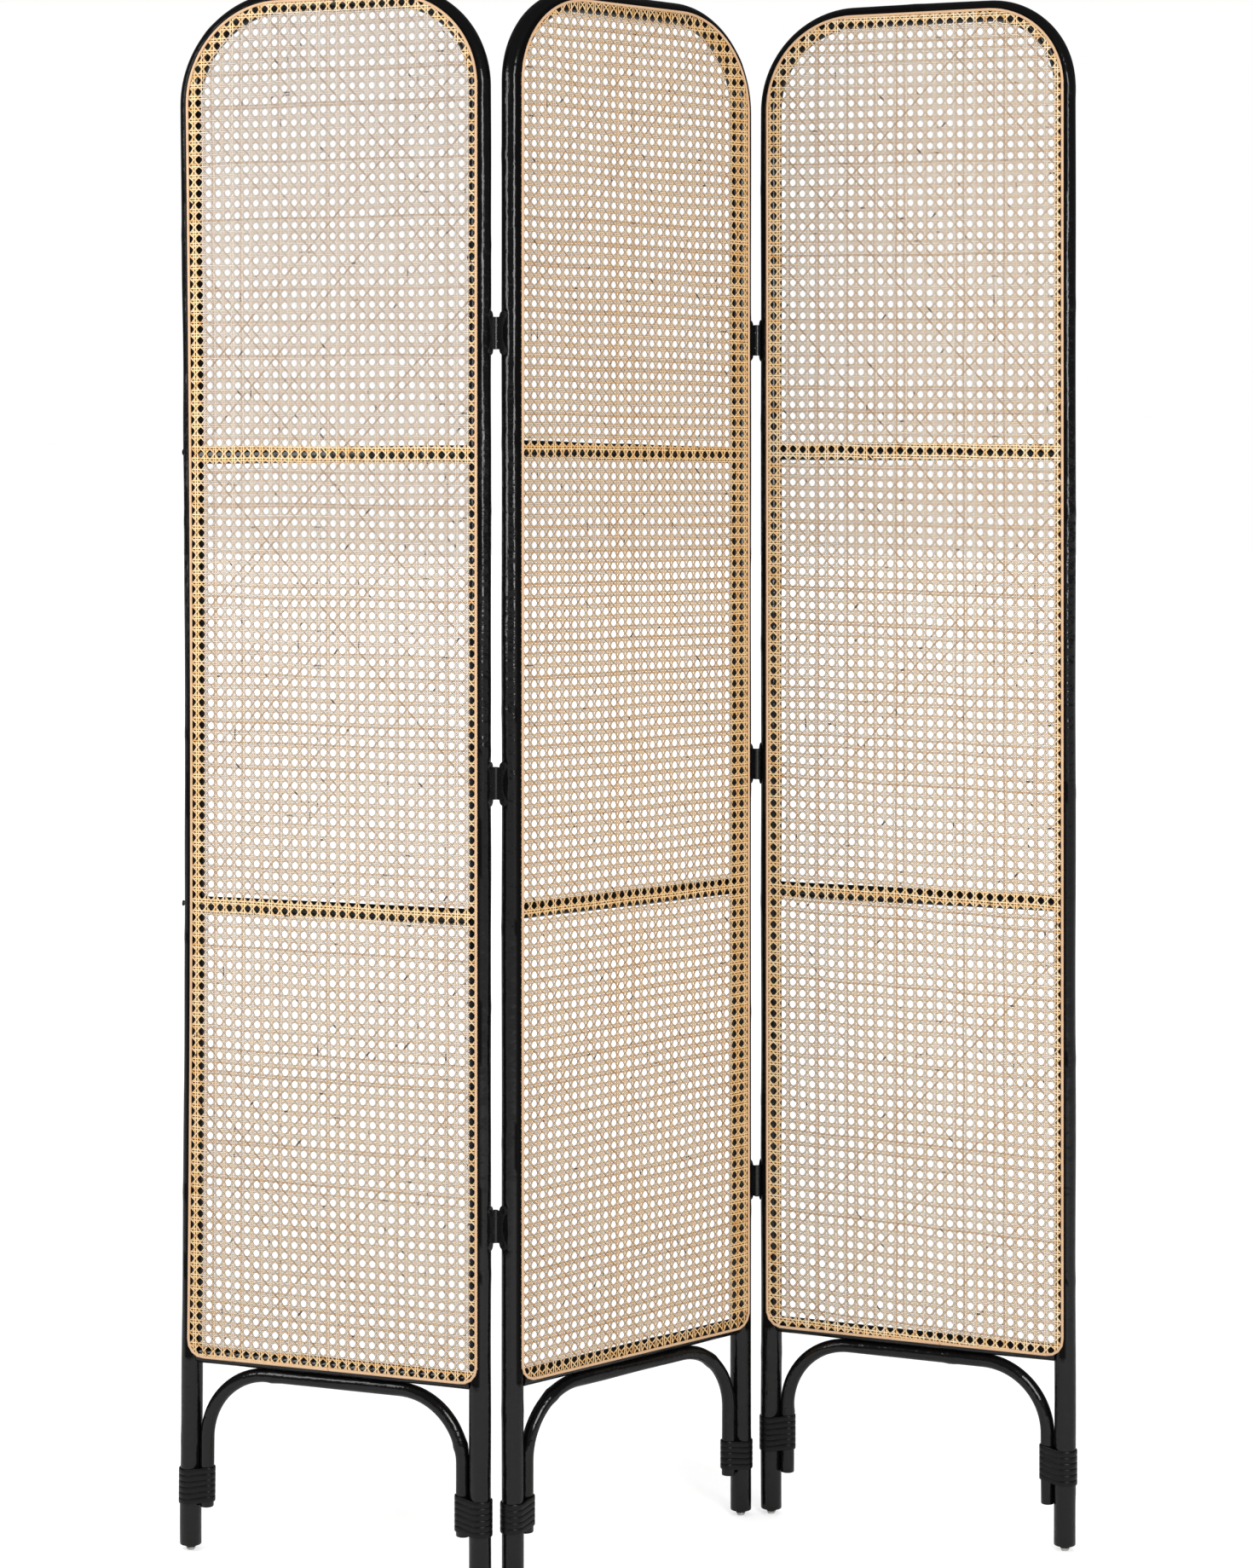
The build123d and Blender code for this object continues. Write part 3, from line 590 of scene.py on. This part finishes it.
def markStrands(mesh, family, way, side, draw):
    # keeps each strand's tone, darkened by its panel's painted shade, the place along it and the share of
    # its width, and drops strands on the edge
    p, q = weave["across"], sheets[side]["up"]
    left, low = firstCrossing(sheets[side])
    spots = readSpots(mesh)
    x, z = (spots[:, 0] - left) / p, (spots[:, 2] - low) / q
    if family == "uprights":
        pair, along, step, limit = x, spots[:, 2], p, (*reversed(sheets[side]["edges"]), left)
    elif family == "crossings":
        pair, along, step, limit = z, spots[:, 0], q, (caneTop, caneLow, low)
    else:
        slope = math.hypot(p, q)
        pair, along, step = z - way * x - 0.5, spots[:, 0] * slope / p, p * q / slope
    nearest = np.round(pair)
    across = (pair - nearest) * step
    number = nearest + way * weave["otherWay"]
    dropped = np.zeros(len(spots), bool)
    half = weave["slant"] / 2
    if family != "diagonals":
        upper = across > 0
        half, spread = weave[family]["width"] / 2, weave[family]["spread"]
        across = np.abs(across) - spread
        number = 2 * nearest + upper
        middle = limit[2] + nearest * step + np.where(upper, 1, -1) * spread
        rim = half + weave["insets"]["side"]
        dropped = (middle > limit[0] - rim) | (middle < limit[1] + rim)
    # painted shade: the sheet's factor darkens all of its strands
    tonesAndShade = draw.random(weave["shades"]) * sheets[side]["toneAndShade"]
    toneAndShade = tonesAndShade[number.astype(int) + weave["shades"] // 2]
    place = np.stack([toneAndShade, along * mm, across / half * mm], 1).astype(np.float32)
    mesh.attributes.new("strandPlace", "FLOAT_VECTOR", "POINT").data.foreach_set("vector", place.ravel())
    return dropped


def layRows(mesh, side):
    spots = readSpots(mesh)
    heights, lefts, rights = zip(*sheets[side]["lay"])
    share = spots[:, 0] / weave["laySpan"] + 0.5
    height = spots[:, 2].copy()
    left, right = np.interp(height, heights, lefts), np.interp(height, heights, rights)
    spots[:, 2] += left * (1 - share) + right * share
    mesh.vertices.foreach_set("co", spots.ravel())


def cutToOutline(bm, side):
    inset, bends, edges = weave["insets"], panels[side]["bends"], sheets[side]["edges"]
    walls = [((edges[1] - inset["side"], 0, 0), (1, 0, 0)), ((edges[0] + inset["side"], 0, 0), (-1, 0, 0)),
             ((0, 0, caneLow + inset["low"]), (0, 0, -1)), ((0, 0, caneTop - inset["top"]), (0, 0, 1))]
    for point, normal in walls:
        cutPlane(bm, point, normal, clear=True)
    corners = [(-1, 1, bends[0] + caneOverlap, weave["topCuts"]),
               (1, 1, bends[1] + caneOverlap, weave["topCuts"]),
               (-1, -1, weave["lowCorner"], weave["lowCuts"]), (1, -1, weave["lowCorner"], weave["lowCuts"])]
    for right, up, radius, count in corners:
        level = caneTop - radius if up > 0 else caneLow + radius
        centre = Vector((edges[right > 0] - right * radius, 0, level))
        near = [face for face in bm.faces
                if (face.verts[0].co.x - centre.x) * right > -weave["cornerReach"]
                and (face.verts[0].co.z - centre.z) * up > -weave["cornerReach"]]
        geometry = set(near)
        for face in near:
            geometry.update(face.verts)
            geometry.update(face.edges)
        geometry = list(geometry)
        for step in range(1, count):
            a = math.pi / 2 * step / count
            normal = Vector((right * math.cos(a), 0, up * math.sin(a)))
            cut = bmesh.ops.bisect_plane(bm, geom=geometry, dist=weld, plane_no=normal, clear_outer=True,
                                         plane_co=centre + normal * (radius - inset["corner"]))
            geometry = [item for item in cut["geom"] if item.is_valid]
    bmesh.ops.holes_fill(bm, edges=[edge for edge in bm.edges if edge.is_boundary], sides=0)


def letWander(mesh, side):
    # rows and columns of a real sheet are never quite straight, but its edges are held by the binding
    draw = np.random.default_rng(panels[side]["seed"])
    spots = readSpots(mesh)
    x, z = spots[:, 0].copy(), spots[:, 2].copy()
    left, right = sheets[side]["edges"]
    edge = np.minimum(np.minimum(x - left, right - x), np.minimum(z - caneLow, caneTop - z))
    edge = np.clip(edge / weave["hold"], 0, 1)
    held = edge ** 2 * (3 - 2 * edge)
    for axis in (0, 2):
        shift = 0
        for _ in range(weave["waves"]):
            wide, high = draw.uniform(*weave["wavesWide"]), draw.uniform(*weave["wavesHigh"])
            shift = shift + np.sin(fullTurn * (x / wide + z / high) + draw.uniform(*anyPhase))
        spots[:, axis] += held * weave["wander"] * shift / weave["waveShare"]
    mesh.vertices.foreach_set("co", spots.ravel())


def weaveCane(side):
    sheet = sheets[side]
    families = {"uprights": [uprights(sheet)], "crossings": [crossings(sheet)],
                "diagonals": [diagonals(sheet, 1), diagonals(sheet, -1)]}
    for family, meshes in families.items():
        draw = np.random.default_rng(panels[side]["seed"] * 100 + len(family))
        bm = bmesh.new()
        dropped = []
        for way, mesh in zip((1, -1), meshes):
            dropped.extend(markStrands(mesh, family, way, side, draw))
            layRows(mesh, side)
            bm.from_mesh(mesh)
            bpy.data.meshes.remove(mesh)
        gone = [vert for vert, drop in zip(bm.verts, dropped) if drop]
        bmesh.ops.delete(bm, geom=gone, context="VERTS")
        cutToOutline(bm, side)
        bmesh.ops.recalc_face_normals(bm, faces=bm.faces[:])
        label = f"{side}_cane_{family}"
        woven = meshFrom(bm, label)
        letWander(woven, side)
        spots = readSpots(woven)
        woven.attributes.new("backedOrShaded", "FLOAT", "POINT").data.foreach_set(
            "value", backedOrShadedShare(spots[:, 0], spots[:, 2], side))
        finishPiece(label, woven, side, "cane", side + "_cane_webbing", crease=60)
        print(label, len(woven.polygons), "faces")


for side in panels:
    weaveCane(side)
print("cane woven")

# half-round peel over the edge of the cane, its ends meeting in a slanted cut at the bottom
binding = {"width": 3.2, "height": 1.5, "seat": 12.8, "corner": 20, "segments": 14, "step": 8, "gap": 0.4,
           "slope": 0.9, "seams": {"left": 0, "middle": -26, "right": 34}}
for side, panel in panels.items():
    half = binding["width"] / 2
    west, east = sheets[side]["edges"][0] + half, sheets[side]["edges"][1] - half
    low, top, seam = caneLow + half, caneTop - half, binding["seams"][side]
    corner = binding["corner"] - half
    left, right = [bend + caneOverlap - half for bend in panel["bends"]]
    steps = [("run", seam - west - corner), ("bend", corner),
             ("run", top - low - corner - left), ("bend", left),
             ("run", east - west - left - right), ("bend", right),
             ("run", top - low - right - corner), ("bend", corner), ("run", east - corner - seam)]
    length, place = pathFrom((seam, low), -math.pi / 2, steps)
    bm = bmesh.new()
    bmesh.ops.create_cone(bm, cap_ends=True, segments=binding["segments"], radius1=half, radius2=half,
                          depth=length - binding["gap"])
    bmesh.ops.translate(bm, verts=bm.verts, vec=(0, 0, length / 2))
    longEdges = [edge for edge in bm.edges if abs(edge.verts[0].co.z - edge.verts[1].co.z) > length / 2]
    bmesh.ops.subdivide_edges(bm, edges=longEdges, cuts=int(length / binding["step"]), use_grid_fill=True)
    for vert in bm.verts:
        x, y, s = vert.co
        if s < half or s > length - half:
            s += x * binding["slope"]
        across, height, heading = place(min(max(s, 0), length))
        vert.co = (across + x * math.cos(heading), min(y, 0) / half * binding["height"] - binding["seat"],
                   height - x * math.sin(heading))
    bmesh.ops.remove_doubles(bm, verts=bm.verts[:], dist=weld)
    bmesh.ops.recalc_face_normals(bm, faces=bm.faces[:])
    label = side + "_edge_peel"
    finishPiece(label, meshFrom(bm, label), side, "binding", side + "_cane_binding", crease=50)
print("edges bound")

# flat peel wound about each leg and the end of the arch; its section is in shares of thick and half width
lashing = {"width": 6.45, "thick": 1.6, "climb": 3.375, "slack": 0.15, "steps": 14, "wander": 0.3, "tail": 3,
           "section": ((0, -1), (0, 1), (0.8, 1), (1, 0.82), (1.04, 0), (1, -0.82), (0.8, -1))}


def windPeel(side, panel, edge):
    draw = np.random.default_rng(panel["seed"] * 7 + edge)
    leg, rod = poleRadius + lashing["slack"], arches["radius"] + lashing["slack"]
    spacing = poleCentre - arches["half"]
    lean = math.asin((leg - rod) / spacing)
    wide, thick = lashing["width"] / 2, lashing["thick"]
    outward = Vector((math.sin(lean), math.cos(lean), 0))
    base = panel["winding"] + wide
    bm = bmesh.new()
    ring = [bm.verts.new(outward * (leg + out * thick) + Vector((0, 0, base + up * wide)))
            for out, up in lashing["section"]]
    edges = [bm.edges.new((ring[i], ring[(i + 1) % len(ring)])) for i in range(len(ring))]
    bm.faces.new(ring)
    run = Vector((spacing + (rod - leg) * math.sin(lean), (leg - rod) * math.cos(lean), 0))
    back = Vector((-run.x, run.y, 0))

    def wrap(geometry, centre, angle):
        verts = list({vert for item in geometry for vert in item.verts})
        made = bmesh.ops.spin(bm, geom=verts + geometry, cent=centre, axis=(0, 0, 1), angle=angle,
                              steps=lashing["steps"], use_merge=False)["geom_last"]
        return [item for item in made if isinstance(item, bmesh.types.BMEdge)]

    for number in range(panel["turns"]):
        edges = wrap(edges, (0, 0, 0), math.pi + 2 * lean)
        tilt = draw.uniform(-1, 1) * lashing["wander"]
        edges = extrudeRing(bm, edges, run + Vector((0, 0, lashing["climb"] + tilt)))
        edges = wrap(edges, (spacing, 0, 0), math.pi - 2 * lean)
        if number < panel["turns"] - 1:
            edges = extrudeRing(bm, edges, back + Vector((0, 0, lashing["climb"] - tilt)))
        else:
            edges = extrudeRing(bm, edges, back.normalized() * lashing["tail"])
    bmesh.ops.holes_fill(bm, edges=edges, sides=0)
    for vert in bm.verts:
        vert.co.x = edge * (poleCentre - vert.co.x)
    bmesh.ops.recalc_face_normals(bm, faces=bm.faces[:])
    leg = "left_leg" if edge < 0 else "right_leg"
    label = f"{side}_winding_{leg}"
    finishPiece(label, meshFrom(bm, label), side, "peel", f"{side}_lashing_{leg}")


for side, panel in panels.items():
    windPeel(side, panel, -1)
    windPeel(side, panel, 1)
print("lashings wound")

# slotted countersunk screws of the hinges, each stopped at a turn of its own
screws = {"head": 2.5, "shank": 1.4, "length": 13, "segments": 24, "face": 193.9, "back": 2.15, "rise": 18.5,
          "slot": 0.45, "deep": 0.7, "turns": (37, 71)}


def pushFaces(bm, faces, step):
    made = bmesh.ops.extrude_face_region(bm, geom=faces)["geom"]
    bmesh.ops.delete(bm, geom=faces, context="FACES_ONLY")
    bmesh.ops.translate(bm, verts=[item for item in made if isinstance(item, bmesh.types.BMVert)],
                        vec=(0, 0, step))


def hingeScrew(edge, pinSide, height, rise):
    bm = bmesh.new()
    slope = screws["head"] - screws["shank"]
    bmesh.ops.create_cone(bm, cap_ends=True, segments=screws["segments"], radius1=screws["shank"],
                          radius2=screws["head"], depth=slope)
    for way in (-1, 1):
        cutPlane(bm, (way * screws["slot"], 0, 0), (1, 0, 0))
    slot = [face for face in bm.faces if face.normal.z > 0.9 and abs(face.calc_center_median().x) < 0.1]
    pushFaces(bm, slot, -screws["deep"])
    end = [face for face in bm.faces if face.normal.z < -0.9]
    pushFaces(bm, end, slope - screws["length"])
    turn = screws["turns"][0] * height + screws["turns"][1] * rise
    aim = Matrix.Rotation(edge * math.pi / 2, 4, "Y") @ Matrix.Rotation(math.radians(turn), 4, "Z")
    spot = (edge * (screws["face"] - slope / 2), pinSide * screws["back"], height + rise)
    bm.transform(Matrix.Translation(spot) @ aim)
    return meshFrom(bm, "screw")


for side, panel in panels.items():
    bm = bmesh.new()
    for edge, pinSide in panel["hinges"].items():
        for height in hingeHeights:
            for rise in (-screws["rise"], screws["rise"]):
                screw = hingeScrew(edge, pinSide, height, rise)
                bm.from_mesh(screw)
                bpy.data.meshes.remove(screw)
    bmesh.ops.recalc_face_normals(bm, faces=bm.faces[:])
    label = side + "_leaf_screws"
    finishPiece(label, meshFrom(bm, label), side, "screw", side + "_hinge_screws")
print("screws driven")

# CAD pieces that stay get their finish
finishes = {"foot_glides": "glide", "rail_screws": "screw", "arch_screws": "screw",
            "_pin": "screw", "leaf_on": "hinge"}
for name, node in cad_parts.items():
    for words, look in finishes.items():
        if words in name:
            for slot in node.material_slots:
                slot.material = looks[look]
print("CAD pieces dressed")

# pale floor: lit as a floor, and lifted to white for the camera, so that only the shadow shows
stage = {"size": 40, "colour": "#e2e2e2", "near": 1.2, "far": 4.0, "lift": (0.5, 0.78)}
bm = bmesh.new()
bmesh.ops.create_grid(bm, x_segments=1, y_segments=1, size=stage["size"])
floorMesh = meshFrom(bm, "floor")
floor = bpy.data.objects.new("floor", floorMesh)
scene.collection.objects.link(floor)
floorLook, tree, shader = startMaterial("studioFloor", Roughness=0.9, Specular_IOR_Level=0.0)
shader.inputs["Base Color"].default_value = linear(stage["colour"])
rays = addNode(tree, "ShaderNodeLightPath")
spot = addNode(tree, "ShaderNodeTexCoord")
away = addNode(tree, "ShaderNodeVectorMath", links={0: spot.outputs["Object"]}, operation="LENGTH")
lift = addNode(tree, "ShaderNodeMapRange",
               {1: stage["near"], 2: stage["far"], 3: stage["lift"][0], 4: stage["lift"][1]},
               {0: away.outputs["Value"]})
seen = addNode(tree, "ShaderNodeMath", links={0: rays.outputs["Is Camera Ray"], 1: lift.outputs[0]},
               operation="MULTIPLY")
shader.inputs["Emission Color"].default_value = (1, 1, 1, 1)
tree.links.new(seen.outputs[0], shader.inputs["Emission Strength"])
floorMesh.materials.append(floorLook)

# an even white surround, darker in reflections, and two soft boxes
studio = {"ambient": 0.7, "mirrored": 0.1, "aim": (0, 0, 1.1), "boxes": [
    {"name": "leftBox", "place": (-1.5, -0.85, 1.55), "size": (0.6, 1.1), "watts": 13.5},
    {"name": "rightBox", "place": (1.15, -2.8, 1.75), "size": (1.0, 1.5), "watts": 50},
]}
world = bpy.data.worlds.new("studio")
scene.world = world
world.use_nodes = True
tree = world.node_tree
sky = tree.nodes["Background"]
rays = addNode(tree, "ShaderNodeLightPath")
lit = addNode(tree, "ShaderNodeMapRange", {3: studio["ambient"], 4: studio["mirrored"]},
              {0: rays.outputs["Is Glossy Ray"]})
seen = addNode(tree, "ShaderNodeMath", operation="MAXIMUM",
               links={0: rays.outputs["Is Camera Ray"], 1: rays.outputs["Is Transmission Ray"]})
level = addNode(tree, "ShaderNodeMath", links={0: lit.outputs[0], 1: seen.outputs[0]}, operation="MAXIMUM")
sky.inputs["Color"].default_value = (1, 1, 1, 1)
tree.links.new(level.outputs[0], sky.inputs["Strength"])
for box in studio["boxes"]:
    lamp = bpy.data.lights.new(box["name"], "AREA")
    lamp.shape = "RECTANGLE"
    lamp.size, lamp.size_y = box["size"]
    lamp.energy = box["watts"]
    light = bpy.data.objects.new(box["name"], lamp)
    light.location = box["place"]
    light.rotation_euler = (Vector(studio["aim"]) - light.location).to_track_quat("-Z", "Y").to_euler()
    scene.collection.objects.link(light)

# level camera, shifted down as the photo was framed
view = {"place": (-1.4, -4010.3, 1268), "lens": 79.27, "sensor": 36, "shift": -0.2094, "clip": 100}
camera = bpy.data.cameras.new("camera")
camera.lens = view["lens"]
camera.sensor_width = view["sensor"]
camera.shift_y = view["shift"]
camera.clip_end = view["clip"]
eye = bpy.data.objects.new("camera", camera)
eye.location = [value * mm for value in view["place"]]
eye.rotation_euler = (math.pi / 2, 0, 0)
scene.collection.objects.link(eye)
scene.camera = eye
print("studio set")
